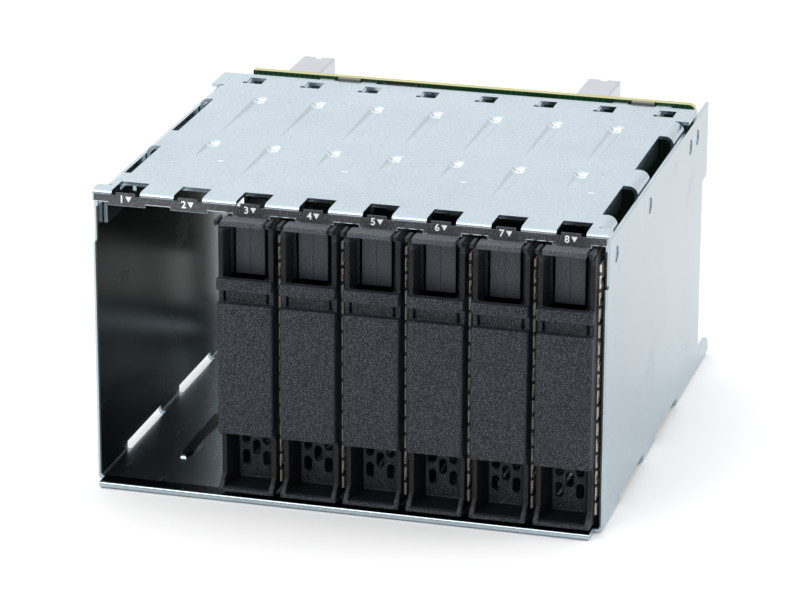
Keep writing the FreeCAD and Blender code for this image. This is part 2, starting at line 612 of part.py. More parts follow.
for side in ("", "-"):
    sideTabs.append([
        (side + bendCentre[0], "cageHeight", side + bendCentre[0], bendCentre[1]),
        (side + tabOuter, bendCentre[1]), (side + tabOuter, "tabBottom"), (side + tabInner, "tabBottom"),
        (side + tabInner, bendCentre[1], side + bendCentre[0], bendCentre[1]),
        (side + bendCentre[0], coverUnder), (side + "(%s - gauge)" % bendCentre[0], coverUnder),
        (side + "(%s - gauge)" % bendCentre[0], "cageHeight")])
fill(cover, "CoverSideTabs", "XZ_Plane", "frontStripRear + bendRelief", "rearStripFront - bendRelief",
     sideTabs)
fill(cover, "CoverTabEnds", "XZ_Plane", "rearStripFront - bendRelief - 1", "tabRear", [
    box(side + tabInner, side + tabOuter, "tabBottom", bendCentre[1]) for side in ("", "-")])
sideSlots = [("Front", "frontSlotFront", "frontSlotRear"), ("Rear", "rearSlotFront", "rearSlotRear")]
cut(cover, "CoverSideSlots", "XY_Plane", "edgeSlotBottom", "cageHeight + 1", [
    box(side + "(%s - edgeSlotInset)" % tabOuter, side + "(%s + 2)" % outerHalf, front, rear)
    for side in ("", "-") for word, front, rear in sideSlots])
for word, front, rear in sideSlots:
    flanges = [
        box(side + "(%s - edgeSlotInset - gauge)" % tabOuter, side + "(%s - edgeSlotInset)" % tabOuter,
            "cageHeight - gauge / 2 - edgeSlotFlange", "cageHeight - gauge / 2")
        for side in ("", "-")]
    fill(cover, "CoverSlotFlanges" + word, "XZ_Plane", front + " + edgeSlotRelief",
         rear + " - edgeSlotRelief", flanges)
guideRidges(cover, "Top", coverUnder, -1, grooveRows, "grooveWide")
for row, front, rear in grooveRows:
    groove = pressedGroove(cover, "Top%sGroove" % row, firstBorder, front, rear)
    repeat(cover, groove, "X_Axis", innerBorders, "bays - 1")
    scoop = grooveScoop(cover, "Top%sScoop" % row, firstBorder, rear)
    repeat(cover, scoop, "X_Axis", innerBorders, "bays - 1")
longGroove = pressedGroove(cover, "TopLongGroove", "(-pitch * 2)", "longGrooveFront", "frontGrooveRear")
repeat(cover, longGroove, "X_Axis", "pitch * 4", 2)
window = cut(cover, "CoverWindow", "XY_Plane", "windowSill", "cageHeight + 1", [
    box(firstBay + " - blankShift - windowHalf", firstBay + " - blankShift + windowHalf", -1, "windowRear")])
repeat(cover, window, "X_Axis", rowLength, "bays")
windowLeft = firstBay + " - rearWindowLeft"
windowRight = windowLeft + " + rearWindowWide"
windowBack = "rearWindowFront + rearWindowLong"
reliefLeft, reliefBack = windowLeft + " - reliefWide", "rearWindowFront + reliefLong"
rearWindow = cut(cover, "CoverRearWindow", "XY_Plane", coverUnder + " - 1", "cageHeight + 1", [
    [(reliefLeft, "rearWindowFront"), (windowRight, "rearWindowFront"), (windowRight, windowBack),
     (windowLeft, windowBack), (windowLeft, reliefBack), (reliefLeft, reliefBack)]])
repeat(cover, rearWindow, "X_Axis", rowLength, "bays")
lanceFoot, lanceTop = coverUnder + " - lanceDrop", "cageHeight - gauge / 4"
lance = fill(cover, "CoverLance", "XZ_Plane", reliefBack, windowBack, [[
    (windowLeft + " - gauge / 2", coverUnder), (windowLeft + " + lanceDrop * 0.7", lanceFoot),
    (windowLeft + " + lanceDrop * 0.7 + gauge", lanceFoot),
    (windowLeft + " + gauge / 2", lanceTop), (windowLeft + " - gauge / 2", lanceTop)]])
repeat(cover, lance, "X_Axis", rowLength, "bays")
boardTabs = []
for pair in ("-boardTabCentre + boardTabShift", "boardTabCentre + boardTabShift"):
    for side in ("-", "+"):
        centre = "%s %s boardTabApart / 2" % (pair, side)
        boardTabs.append(box(centre + " - boardTabWide / 2", centre + " + boardTabWide / 2",
                             "coverRear - gauge", "boardTabEnd"))
fill(cover, "CoverBoardTabs", "XY_Plane", coverUnder, "cageHeight", boardTabs)

# ---- label strip on the front flange ----
label = newBody("label_strip")
fill(label, "LabelBand", "XZ_Plane", "-labelThick", 0, [
    box("-(%s - labelInset)" % outerHalf, outerHalf + " - labelInset",
        "flangeBottom + labelEdge", "cageHeight - frontBend")])
labelTab = fill(label, "LabelTab", "XZ_Plane", "-labelThick", 0, [
    box(firstBay + " - blankShift - labelTabHalf", firstBay + " - blankShift + labelTabHalf",
        "flangeBottom + labelEdge", "labelTabTop")])
repeat(label, labelTab, "X_Axis", rowLength, "bays")
lowTab = fill(label, "LabelLowTab", "XZ_Plane", "-labelThick", 0, [
    box(firstBay + " - labelLowHalf", firstBay + " + labelLowHalf",
        "flangeBottom - numberTabDrop + labelEdge / 2", "flangeBottom + labelEdge * 1.5")])
repeat(label, lowTab, "X_Axis", rowLength, "bays")

# ---- connector board ----
board = newBody("backplane_board")
fill(board, "BoardSheet", "XZ_Plane", "boardFront", boardRear, [
    box("-boardLeft", "boardRight", "boardBottom", "boardTop")])
roundEdges(board, "BoardCorner", "boardCorner", [("boardRight", "boardTop")], 1)
vent = cut(board, "BoardVent", "XZ_Plane", "boardFront - 1", boardRear + " + 1", [
    clippedBox(firstBorder + " - ventWide / 2", firstBorder + " + ventWide / 2", "ventLow", "ventHigh",
               "ventCorner")])
repeat(board, vent, "X_Axis", innerBorders, "bays - 1")

bracketPlaces = [("left", "-bracketLeft"), ("right", "bracketRight")]
footRivetHeights = ["bracketTop - gauge - bracketFoot + 5", "bracketTop - gauge - bracketFoot + 15"]
cut(board, "BoardRivetHoles", "XZ_Plane", "boardFront - 1", boardRear + " + 1", [
    hexagon(centre, height, "studAcross") for word, centre in bracketPlaces for height in footRivetHeights])
cut(board, "BoardScrewHoles", "XZ_Plane", "boardFront - 1", boardRear + " + 1", [
    hexagon("%d * lugCentre" % side, "lugHole", "(screwAcross + 2 * fitGap)") for side in (-1, 1)])

# ---- drive connectors, one per bay, on the front of the board ----
for bay in range(1, int(amount("bays")) + 1):
    centre = "(pitch * (%d - (bays + 1) / 2))" % bay
    socket = newBody("drive_connector_%d" % bay)
    fill(socket, "Housing", "XZ_Plane", "boardFront - driveSocketDeep", "boardFront", [
        box("-driveSocketWide / 2", "driveSocketWide / 2", "driveSocketLow", "driveSocketHigh")])
    split = "(driveSocketLow + 0.36 * (driveSocketHigh - driveSocketLow))"
    mouth = "boardFront - driveSocketDeep - 1"
    cut(socket, "BladeSlots", "XZ_Plane", mouth, "boardFront - socketWall * 1.5", [
        box("-driveSocketWide / 2 + socketWall", "driveSocketWide / 2 - socketWall",
            "driveSocketLow + socketWall * 2", split + " - socketWall / 2"),
        box("-driveSocketWide / 2 + socketWall", "driveSocketWide / 2 - socketWall",
            split + " + socketWall / 2", "driveSocketHigh - socketWall * 2")])
    socket.setExpression("Placement.Base.x", linked(centre))

# ---- connectors on the rear of the board ----
signalPlaces = [("left", "-signalSocketLeft", "(signalSocketTop - signalSocketDrop)"),
                ("right", "signalSocketRight", "signalSocketTop")]
for word, centre, top in signalPlaces:
    signal = newBody("signal_connector_" + word)
    foot = top + " - signalSocketTall"
    mouth = boardRear + " + signalSocketDeep"
    fill(signal, "Housing", "XZ_Plane", boardRear, mouth, [
        box("-signalSocketWide / 2", "signalSocketWide / 2", foot, top)])
    cut(signal, "Mouth", "XZ_Plane", boardRear + " + socketWall * 2", mouth + " + 1", [
        box("-signalSocketWide / 2 + socketWall", "signalSocketWide / 2 - socketWall",
            foot + " + socketWall", top + " - socketWall")])
    fill(signal, "Tongue", "XZ_Plane", boardRear + " + socketWall", mouth + " - socketWall", [
        box("-signalSocketWide * 0.12", "signalSocketWide * 0.12",
            foot + " + socketWall * 2.5", top + " - socketWall * 2.5")])
    signal.setExpression("Placement.Base.x", linked(centre))

power = newBody("power_connector")
fill(power, "Housing", "XZ_Plane", boardRear, boardRear + " + powerSocketDeep", [
    box("-powerSocketWide / 2", "powerSocketWide / 2",
        "powerSocketLow", "powerSocketLow + powerSocketTall")])
cell = "((powerSocketWide - socketWall) / 5)"
mouth = boardRear + " + powerSocketDeep"
ways = cut(power, "Ways", "XZ_Plane", boardRear + " + socketWall * 2", mouth + " + 1", [
    box("-powerSocketWide / 2 + socketWall", "-powerSocketWide / 2 + " + cell,
        "powerSocketLow + powerSocketTall * %.1f + socketWall * 0.4" % level,
        "powerSocketLow + powerSocketTall * %.1f - socketWall * 0.4" % (level + 0.5))
    for level in (0.0, 0.5)])
repeat(power, ways, "X_Axis", cell + " * 4", 5)
power.setExpression("Placement.Base.x", linked("pitch / 2"))

header = newBody("sideband_header")
fill(header, "Housing", "XZ_Plane", "boardFront - headerDeep", "boardFront", [
    box("-headerWide / 2", "headerWide / 2", "headerTop - headerTall", "headerTop")])
cut(header, "Mouth", "XY_Plane", "headerTop - headerTall + headerWall", "headerTop + 1", [
    box("-headerWide / 2 + headerWall", "headerWide / 2 - headerWall",
        "boardFront - headerDeep + headerWall", "boardFront - headerWall")])
header.setExpression("Placement.Base.x", linked("-headerCentre"))

# ---- grip clips in front of the board: plates with a round lower end ----
for word, pair in (("left", "-boardTabCentre + boardTabShift"), ("right", "boardTabCentre + boardTabShift")):
    clip = newBody("board_clip_" + word)
    bow = "(clipTop - clipTall + clipWide / 2)"
    fill(clip, "Plate", "XZ_Plane", "boardFront - clipThick", "boardFront", [[
        ("clipWide / 2", "clipTop"), ("clipWide / 2", bow, 0, bow),
        (0, "clipTop - clipTall", 0, bow), ("-clipWide / 2", bow), ("-clipWide / 2", "clipTop")]])
    clip.setExpression("Placement.Base.x", linked(pair))

# ---- rear brackets: folded sheet, foot riveted to the rear of the board ----
for word, centre in bracketPlaces:
    bracket = newBody("rear_bracket_" + word)
    rear = boardRear + " + bracketReach"
    fill(bracket, "Top", "XY_Plane", "bracketTop - gauge", "bracketTop", [
        box("-bracketWide / 2", "bracketWide / 2", boardRear, rear)])
    fill(bracket, "Sides", "YZ_Plane", "-bracketWide / 2", "bracketWide / 2", [[
        (boardRear, "bracketTop"), (rear, "bracketTop"), (rear, "bracketTop - bracketDrop * 0.45"),
        (boardRear + " + bracketReach * 0.35", "bracketTop - bracketDrop"),
        (boardRear, "bracketTop - bracketDrop")]])
    cut(bracket, "Channel", "XZ_Plane", boardRear + " + gauge", rear + " + 1", [
        box("-bracketWide / 2 + gauge", "bracketWide / 2 - gauge", "bracketTop - bracketDrop - 1",
            "bracketTop - gauge")])
    fill(bracket, "Foot", "XZ_Plane", boardRear, boardRear + " + gauge", [
        box("-bracketWide / 2", "bracketWide / 2", "bracketTop - bracketFoot", "bracketTop - gauge")])
    roundEdges(bracket, "Folds", "bracketFold", [
        ("-bracketWide / 2", "bracketTop"), ("bracketWide / 2", "bracketTop")], 1)
    cut(bracket, "Notch", "XY_Plane", "bracketTop - gauge - 1", "bracketTop + 1", [
        box("-gauge", "gauge", rear + " - gauge * 1.5", rear + " + 1")])
    cut(bracket, "RivetHoles", "XZ_Plane", boardRear + " - 1", boardRear + " + gauge + 1", [
        hexagon("0", height, "studAcross") for height in footRivetHeights])
    bracket.setExpression("Placement.Base.x", linked(centre))

# ---- fasteners; each group is one piece of several separate solids ----


wallRivets = newBody("cover_rivets")
wallRivets.AllowCompound = True
fill(wallRivets, "RightRivets", "YZ_Plane", tabOuter, outerHalf + " - rivetRecess", rivetOutlines)
fill(wallRivets, "LeftRivets", "YZ_Plane", "rivetRecess - " + outerHalf, "-" + tabOuter, rivetOutlines)

footRivets = newBody("bracket_rivets")
footRivets.AllowCompound = True
fill(footRivets, "Studs", "XZ_Plane", "boardFront - studProud", boardRear + " + gauge + studProud", [
    hexagon(centre, height, "studAcross") for word, centre in bracketPlaces for height in footRivetHeights])

boardScrews = newBody("board_screws")
boardScrews.AllowCompound = True
screwPlaces = ["%d * lugCentre" % side for side in (-1, 1)]
fill(boardScrews, "Heads", "XZ_Plane", "boardFront - screwHeadTall", "boardFront", [
    hexagon(place, "lugHole", "screwHeadAcross") for place in screwPlaces])
screwEnd = boardRear + " + gauge + screwTail"
fill(boardScrews, "Shanks", "XZ_Plane", "boardFront - screwHeadTall / 2", screwEnd, [
    hexagon(place, "lugHole", "screwAcross") for place in screwPlaces])


# ---- blanks: a moulded housing, a sprung latch and a spring strip in each closed bay ----


def makeHousing(bay, place):
    body = newBody("blank_%d_housing" % bay)
    inside = "(blankHalf - blankWall)"
    backWall = "(fingerWall - fingerBack)"
    # frame behind the raised panel, and the upper frame round the finger recess
    fill(body, "Frame", "XZ_Plane", "-blankFront", backWall, [
        box("-blankHalf", "blankHalf", "panelBottom - fingerWall", "blankTop")])
    # lower frame with the vented recess; its front edges sweep forward into the bottom lip
    fill(body, "LowerFrame", "YZ_Plane", "-blankHalf", "blankHalf", [[
        ("-panelFront", "blankBottom"), ("-panelFront", "blankBottom + 1"),
        ("-lowerFront", "blankBottom + 4.2"),
        ("-lowerFront", "panelBottom"), ("airBack + fingerWall", "panelBottom"),
        ("airBack + fingerWall", "blankBottom")]])
    cut(body, "LowerRecess", "XY_Plane", "blankBottom + 1", "panelBottom + 0.5", [[
        ("-" + inside, "-panelFront - 1"), (inside, "-panelFront - 1"), (inside, "-lowerFront"),
        (inside + " - airNarrow", "airBack"), ("-%s + airNarrow" % inside, "airBack"),
        ("-" + inside, "-lowerFront")]])
    # raised panel and cross bar
    fill(body, "Panel", "XZ_Plane", "-panelFront", "-blankFront + 0.5", [
        box("-blankHalf", "blankHalf", "panelBottom", "panelTop")])
    cut(body, "PanelRim", "XY_Plane", "panelBottom - 1", "panelTop + 1", [[
        (side + "blankHalf", "-panelFront + panelRim"), (side + "(blankHalf + 1)", "-panelFront + panelRim"),
        (side + "(blankHalf + 1)", "-panelFront - 1"), (side + "(blankHalf - panelRim)", "-panelFront - 1"),
        (side + "(blankHalf - panelRim)", "-panelFront")] for side in ("", "-")])
    fill(body, "CrossBar", "XZ_Plane", "-panelFront", "-blankFront + 0.5", [
        box("-blankHalf", "blankHalf", "crossbarBottom", "crossbarTop")])
    # finger recess above the cross bar
    cut(body, "FingerRecess", "XY_Plane", "crossbarTop", "blankTop + 1", [[
        ("-" + inside, "-panelFront - 1"), (inside, "-panelFront - 1"), (inside, "-blankFront"),
        (inside + " - fingerNarrow", "-fingerBack"), ("-%s + fingerNarrow" % inside, "-fingerBack"),
        ("-" + inside, "-blankFront")]])
    cut(body, "RecessFloor", "XY_Plane", "recessFloor", "crossbarTop + 1", [
        box("-tongueHalf - tongueSlit", "tongueHalf + tongueSlit", "-recessLedge", "-fingerBack + 0.5")])
    cut(body, "TongueOpening", "XZ_Plane", "-fingerBack - 0.5", backWall + " + 1", [
        box("-tongueHalf - tongueSlit", "tongueHalf + tongueSlit", "recessFloor", "blankTop + 1")])
    # upright sides behind the frame, and the cheeks and roof that close the space behind the latch
    fill(body, "UprightSides", "XZ_Plane", "0", "sideRear", [
        box(side + inside, side + "blankHalf", "panelBottom", "blankTop") for side in ("", "-")])
    cheekOuter = "(blankHalf - cheekInset)"
    fill(body, "Cheeks", "XZ_Plane", "fingerWall / 2", "cheekRear", [
        box(side + cheekOuter, side + "(%s - blankWall)" % cheekOuter,
            "hingeHeight", "blankTop - roofDrop") for side in ("", "-")])
    fill(body, "Roof", "XZ_Plane", "roofFront", "cheekRear", [
        box("-" + cheekOuter, cheekOuter, "blankTop - roofDrop - blankWall", "blankTop - roofDrop")])
    # grooves under the cross bar, beside the narrow face between bar and panel
    cut(body, "NeckSlits", "XZ_Plane", "-blankFront - 3", "-blankFront + 1.4", [
        box(side + "(%s)" % inside, side + "(%s - 0.7)" % inside, "panelTop", "crossbarBottom")
        for side in ("", "-")])
    # ears beside the latch bar, standing on short necks
    fill(body, "EarNecks", "XZ_Plane", "-blankFront + 0.8", "-earBehind + 0.8", [
        box(side + "(blankHalf - earWide)", side + "blankHalf", "blankTop - 0.5", "earTop")
        for side in ("", "-")])
    fill(body, "Ears", "XZ_Plane", "-earFront", "-earBehind + 0.8", [
        box(side + "(blankHalf - earWide)", side + "blankHalf", "earBottom", "earTop")
        for side in ("", "-")])
    # staggered vent holes through the rear wall of the lower recess
    vents = []
    places = [(-1, "airHoleLow"), (-1, "airHoleLow + airHoleUp"), (0, "airHoleLow + airHoleUp / 2"),
              (1, "airHoleLow"), (1, "airHoleLow + airHoleUp")]
    for column, low in places:
        left = "%d * airHoleAcross - airHoleWide / 2" % column
        vents.append(clippedBox(left, left + " + airHoleWide", low, low + " + airHoleTall", "airHoleCorner"))
    cut(body, "AirHoles", "XZ_Plane", "airBack - 1", "airBack + fingerWall + 1", vents)
    # hollow behind the panel, open to the rear
    cut(body, "PanelHollow", "XZ_Plane", "-panelFront + 1.6", "airBack + fingerWall + 1", [
        box("-" + inside, inside, "panelBottom + fingerWall", "hingeHeight - hingeRadius - fingerWall")])
    # seat of the latch's root, open to the rear so that the tongue can swing back
    cut(body, "LatchSeat", "YZ_Plane", "-tongueHalf - hingeGap", "tongueHalf + hingeGap", [[
        ("-fingerBack - hingeGap", "hingeHeight - hingeRadius - hingeGap"),
        ("-fingerBack + tongueThick + hingeGap * 2", "hingeHeight - hingeRadius - hingeGap"),
        ("-fingerBack + tongueThick + hingeGap * 6", "recessFloor + 1"),
        ("-fingerBack - hingeGap", "recessFloor + 1")]])
    # rails back into the bay, at the top and the bottom of both sides
    fill(body, "Rails", "XZ_Plane", "0", "railRear", [
        box(side + "(blankHalf - railWall)", side + "blankHalf", low, low + " + railTall")
        for side in ("", "-") for low in ("blankBottom", "hingeHeight - railTall")])
    fill(body, "RailEnds", "XZ_Plane", "railRear - railWall", "railRear", [
        box("-blankHalf", "blankHalf", low, low + " + railTall")
        for low in ("blankBottom", "hingeHeight - railTall")])
    body.setExpression("Placement.Base.x", linked(place))
    return body


def makeLatch(bay, place):
    """Tongue with its root in the seat, the bar in front of its top and a small hook behind."""
    body = newBody("blank_%d_latch" % bay)
    fill(body, "Tongue", "YZ_Plane", "-tongueHalf", "tongueHalf", [[
        ("-fingerBack", "hingeHeight - hingeRadius"),
        ("-fingerBack + tongueThick", "hingeHeight - hingeRadius"),
        ("-fingerBack + tongueThick", "blankTop - 2.2"),
        ("-fingerBack + tongueThick + hookReach", "blankTop - 1.4"),
        ("-fingerBack + tongueThick + hookReach * 0.6", "blankTop + 0.6"),
        ("-fingerBack", "blankTop + 0.2"),
        ("-earBehind", "earBottom + 0.8"), ("-earBehind", "earBottom - 0.4"),
        ("-fingerBack", "blankTop - 1.6")]])
    fill(body, "Bar", "XZ_Plane", "-earFront", "-earBehind + 0.4", [
        box("-barHalf", "barHalf", "earBottom", "earTop")])
    roundEdges(body, "BarEdge", "barRim", [("-earFront", "earTop")], 0)
    body.setExpression("Placement.Base.x", linked(place))
    return body


def makeStrip(bay, place):
    """Bent spring strip on the right side with a row of bulged fingers."""
    body = newBody("blank_%d_spring_strip" % bay)
    top = "stripBottom + fingerPitch * (fingerCount - 1) + fingerTall"
    fill(body, "Band", "XY_Plane", "stripBottom", top, [
        box("blankHalf", "blankHalf + stripThick", "-stripFront", "stripRear")])
    finger = fill(body, "Finger", "XY_Plane", "stripBottom", "stripBottom + fingerTall", [[
        ("blankHalf + stripThick / 2", "-stripFront"),
        ("blankHalf + stripThick + fingerBulge", "-stripFront + fingerBulge * 1.6"),
        ("blankHalf + stripThick + fingerBulge", "-stripFront + fingerBulge * 2.6"),
        ("blankHalf + stripThick / 2", "stripRear")]])
    repeat(body, finger, "Z_Axis", "fingerPitch * (fingerCount - 1)", "fingerCount")
    body.setExpression("Placement.Base.x", linked(place))
    return body


for bay in filledBays:
    place = "pitch * (%d - (bays + 1) / 2) - blankShift" % bay
    makeHousing(bay, place)
    makeLatch(bay, place)
    makeStrip(bay, place)

# ---- checks and files ----
doc.recompute()
for item in doc.Objects:
    if {"Invalid", "Error"} & set(item.State):
        raise RuntimeError("%s of %s failed" % (item.Label, item.getParentGeoFeatureGroup()))
    if item.TypeId == "PartDesign::Pocket":
        if item.Shape.Volume > item.BaseFeature.Shape.Volume - 1e-3:
            raise RuntimeError("%s removes nothing" % item.Label)

pieces = [item for item in doc.Objects if item.TypeId == "PartDesign::Body"]
for piece in pieces:
    if piece.Shape.isNull() or not piece.Shape.isValid():
        raise RuntimeError("%s has no valid shape" % piece.Label)
for piece in pieces:
    piece.Shape.exportStep("parts/%s.step" % piece.Label)
    size = piece.Shape.BoundBox
    print("%-24s solids %2d  X %7.2f %7.2f  Y %7.2f %7.2f  Z %6.2f %6.2f" % (
        piece.Label, len(piece.Shape.Solids), size.XMin, size.XMax, size.YMin, size.YMax,
        size.ZMin, size.ZMax))
print("%d pieces" % len(pieces))
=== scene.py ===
import json
import math

import bmesh
import bpy
import numpy as np
from mathutils import Matrix, Vector

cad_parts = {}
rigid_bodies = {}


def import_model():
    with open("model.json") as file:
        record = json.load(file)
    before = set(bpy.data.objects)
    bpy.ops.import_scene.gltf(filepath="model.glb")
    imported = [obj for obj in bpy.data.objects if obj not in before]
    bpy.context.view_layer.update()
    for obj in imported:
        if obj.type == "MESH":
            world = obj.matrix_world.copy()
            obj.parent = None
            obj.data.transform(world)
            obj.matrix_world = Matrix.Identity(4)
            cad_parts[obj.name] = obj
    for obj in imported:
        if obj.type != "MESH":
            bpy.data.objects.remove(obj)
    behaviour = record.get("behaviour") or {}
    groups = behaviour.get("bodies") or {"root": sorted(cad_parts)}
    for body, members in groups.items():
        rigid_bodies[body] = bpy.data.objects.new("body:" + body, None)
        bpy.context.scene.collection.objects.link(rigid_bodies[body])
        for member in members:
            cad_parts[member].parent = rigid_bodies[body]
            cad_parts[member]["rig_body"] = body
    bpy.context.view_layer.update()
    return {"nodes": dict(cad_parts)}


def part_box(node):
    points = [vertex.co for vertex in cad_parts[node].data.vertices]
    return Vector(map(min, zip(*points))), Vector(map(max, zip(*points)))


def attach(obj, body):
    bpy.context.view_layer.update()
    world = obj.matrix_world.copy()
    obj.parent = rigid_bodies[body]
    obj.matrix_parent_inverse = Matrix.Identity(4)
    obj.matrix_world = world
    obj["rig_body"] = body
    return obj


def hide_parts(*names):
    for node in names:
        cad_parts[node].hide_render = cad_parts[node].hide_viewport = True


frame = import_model()
mm = 0.001
pitch = 17.6 * mm
blanks = range(3, 9)
steadyTurns = 20  # keeps a repeated pattern's fraction positive on both sides of the middle
trayLow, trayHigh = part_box("cage_tray")
boardLow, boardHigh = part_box("backplane_board")
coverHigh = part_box("top_cover")[1]


# ---- materials ----

class Wire:
    # One output socket in a material; arithmetic on wires adds Math nodes.
    def __init__(self, finish, socket):
        self.finish = finish
        self.socket = socket

    def math(self, operation, *others):
        return self.finish.node("ShaderNodeMath", {"operation": operation},
                                dict(enumerate((self,) + others)))

    def flipped(self, operation, other):
        # the same with the other value first
        return self.finish.node("ShaderNodeMath", {"operation": operation}, {0: other, 1: self})

    def __add__(self, other):
        return self.math("ADD", other)

    def __sub__(self, other):
        return self.math("SUBTRACT", other)

    def __rsub__(self, other):
        return self.flipped("SUBTRACT", other)

    def __mul__(self, other):
        return self.math("MULTIPLY", other)

    def __truediv__(self, other):
        return self.math("DIVIDE", other)

    __radd__ = __add__
    __rmul__ = __mul__

    def between(self, low, high):
        # 0 below low, 1 above high, a soft step in between
        return self.finish.node("ShaderNodeMapRange", {"interpolation_type": "SMOOTHSTEP"},
                                {"Value": self, "From Min": low, "From Max": high})

    def part(self, name):
        return self.finish.node("ShaderNodeSeparateXYZ", {}, {0: self}, name)

    def repeated(self, start, step):
        # the fraction 0 to 1 of a pattern's step that has passed since the start, (p - start) / step
        return ((self - start) / step + steadyTurns).math("FRACT")


class Tree:
    # A node tree and the one way to add nodes to it.
    def __init__(self, tree):
        self.tree = tree

    def node(self, kind, settings, inputs, output=0):
        made = self.tree.nodes.new(kind)
        for key, value in settings.items():
            setattr(made, key, value)
        for key, value in inputs.items():
            if isinstance(value, Wire):
                self.tree.links.new(value.socket, made.inputs[key])
            elif isinstance(value, tuple) and made.inputs[key].type == "RGBA":
                made.inputs[key].default_value = tuple(value) + (1,)
            else:
                made.inputs[key].default_value = value
        return Wire(self, made.outputs[output])


class Finish(Tree):
    # A material with the Principled shader; fixed values go straight to its sockets.
    def __init__(self, name, **fixed):
        self.material = bpy.data.materials.new(name)
        self.material.use_nodes = True
        super().__init__(self.material.node_tree)
        self.shader = self.tree.nodes["Principled BSDF"]
        for key, value in fixed.items():
            self.put(key, value)
        self.place = self.node("ShaderNodeTexCoord", {}, {}, "Object")

    def put(self, key, value):
        socket = self.shader.inputs[key.replace("_", " ")]
        if isinstance(value, Wire):
            self.tree.links.new(value.socket, socket)
        elif isinstance(value, tuple):
            socket.default_value = tuple(value) + (1,)
        else:
            socket.default_value = value

    def stretched(self, scale):
        # the object's coordinates, multiplied along each axis
        return self.node("ShaderNodeVectorMath", {"operation": "MULTIPLY"}, {0: self.place, 1: scale})

    def inside(self, low, high, soft):
        # 1 within a box of the object's coordinates, fading to 0 over the soft width outside it
        share = 1.0
        for axis, start, end in zip("XYZ", low, high):
            along = self.place.part(axis)
            share = along.between(start - soft, start) * (1 - along.between(end, end + soft)) * share
        return share

    def noise(self, scale, detail=2.0, rough=0.5, place=None):
        return self.node("ShaderNodeTexNoise", {}, {
            "Vector": place or self.place, "Scale": scale, "Detail": detail, "Roughness": rough})

    def blend(self, share, first, second):
        # a colour between two colours
        return self.node("ShaderNodeMix", {"data_type": "RGBA"}, {
            0: share, 6: first, 7: second}, 2)

    def bump(self, height, depth, strength):
        # the normal of a surface raised by height * depth, at the given strength
        return self.node("ShaderNodeBump", {}, {
            "Height": height, "Distance": depth, "Strength": strength})


def wallShade(finish):
    # Painted shade on the right wall's outer face, making it a little darker than the top, more so
    # higher up:
    # least + gain times a soft step of the height, on that face alone.
    outer = finish.place.part("X").between(trayHigh.x - 0.2 * mm, trayHigh.x - 0.1 * mm)
    height = finish.place.part("Z").between(wall["low"], wall["high"])
    return outer * (wall["least"] + height * wall["gain"])


def scoopHighlight(finish):
    # Painted highlight rings at the round ends of the pressed grooves, r = sqrt(dx^2 + dy^2) from each
    # end's middle, with a small dark spot at each middle.
    across, along = finish.place.part("X"), finish.place.part("Y")
    sideways = (across.repeated(pitch / 2, pitch) - 0.5) * pitch
    paintedHighlight, darkSpot = 0.0, 0.0
    for middle in grooves["ends"]:
        forward = along - middle
        reach = (sideways * sideways + forward * forward).math("SQRT")
        paintedHighlight = (1 - reach.between(0.9 * mm, 2.7 * mm)) + paintedHighlight
        darkSpot = (1 - reach.between(0.15 * mm, 0.35 * mm)) + darkSpot
    rowHalf = grooves["count"] / 2 * pitch
    inner = 1 - across.math("ABSOLUTE").between(rowHalf + 0.2 * mm, rowHalf + 0.4 * mm)
    top = finish.place.part("Z").between(coverHigh.z - 2.2 * mm, coverHigh.z - 2 * mm) * inner
    return paintedHighlight * top, darkSpot * top


def galvanisedSteel(name, settings):
    # Zinc-coated sheet: an even tone with a fine grain, faint broad clouds and a few rubbed streaks;
    # with painted shade in each box of settings["dull"], by the share given with it.
    finish = Finish(name, Metallic=1.0)
    shadow = (0.03, 0.035, 0.036)
    clouds = finish.noise(22, 2.0)
    grain = finish.noise(1500, 2.0, 0.6)
    streak = finish.noise(1.0, 2.0, place=finish.stretched((420, 60, 60))).between(0.62, 0.74)
    fleck = finish.noise(330, 3.0).between(0.66, 0.74)
    drift = finish.noise(1.0, 2.0, place=finish.stretched((60, 60, 14)))
    tone = clouds * 0.25 + drift * 0.30 + grain * 0.80 - fleck * 0.25 - 0.08
    colour = finish.blend(tone, settings["dark"], settings["bright"])
    # painted shade inside the tray, box by box
    for low, high, share in settings["dull"]:
        colour = finish.blend(finish.inside(low, high, 0.1 * mm) * share, colour, shadow)
    # painted shade on the right wall's outer face
    colour = finish.blend(wallShade(finish), colour, shadow)
    paintedHighlight, darkSpot = scoopHighlight(finish)
    # painted highlight at the grooves' round ends, and a dark spot in each middle
    colour = finish.blend(paintedHighlight * 0.85, colour, (0.97, 0.98, 0.97))
    colour = finish.blend(darkSpot * 0.85, colour, (0.10, 0.11, 0.11))
    finish.put("Base Color", colour)
    finish.put("Roughness", settings["rough"] + grain * 0.08 + streak * 0.05)
    finish.put("Normal", finish.bump(grain, 0.03 * mm, 0.22))
    return finish.material


def mouldedPlastic(name, settings):
    # Spark-eroded moulded plastic: close dark pits between small lighter grains, partly painted glints,
    # a few of them bright painted glints; painted shade in the boxes of settings["hollows"], and by the
    # share that settings["shade"] works out.
    finish = Finish(name, Specular_IOR_Level=0.32)
    pits = finish.noise(settings["grain"], 3.0, 0.75)
    glint = finish.noise(settings["grain"] * 1.2, 2.0, 0.7)
    patch = finish.noise(70, 2.0)
    light = glint.between(0.49, 0.60) * (0.6 + patch * 0.5)
    # painted glints: the brightest grains, raised by settings["sparkle"]
    light = light + glint.between(0.61, 0.65) * settings["sparkle"]
    tone = finish.blend(light, settings["dark"], settings["light"])
    # painted shade in each hollow, by its share
    for low, high, share in settings.get("hollows", []):
        tone = finish.blend(finish.inside(low, high, 0.2 * mm) * share, tone, (0.001, 0.001, 0.001))
    if "shade" in settings:
        tone = finish.blend(settings["shade"](finish), tone, (0.002, 0.002, 0.003))
    finish.put("Base Color", tone)
    finish.put("Roughness", settings["rough"] + patch * 0.06 - glint * 0.10)
    finish.put("Normal", finish.bump(pits, 0.08 * mm, 0.45))
    return finish.material


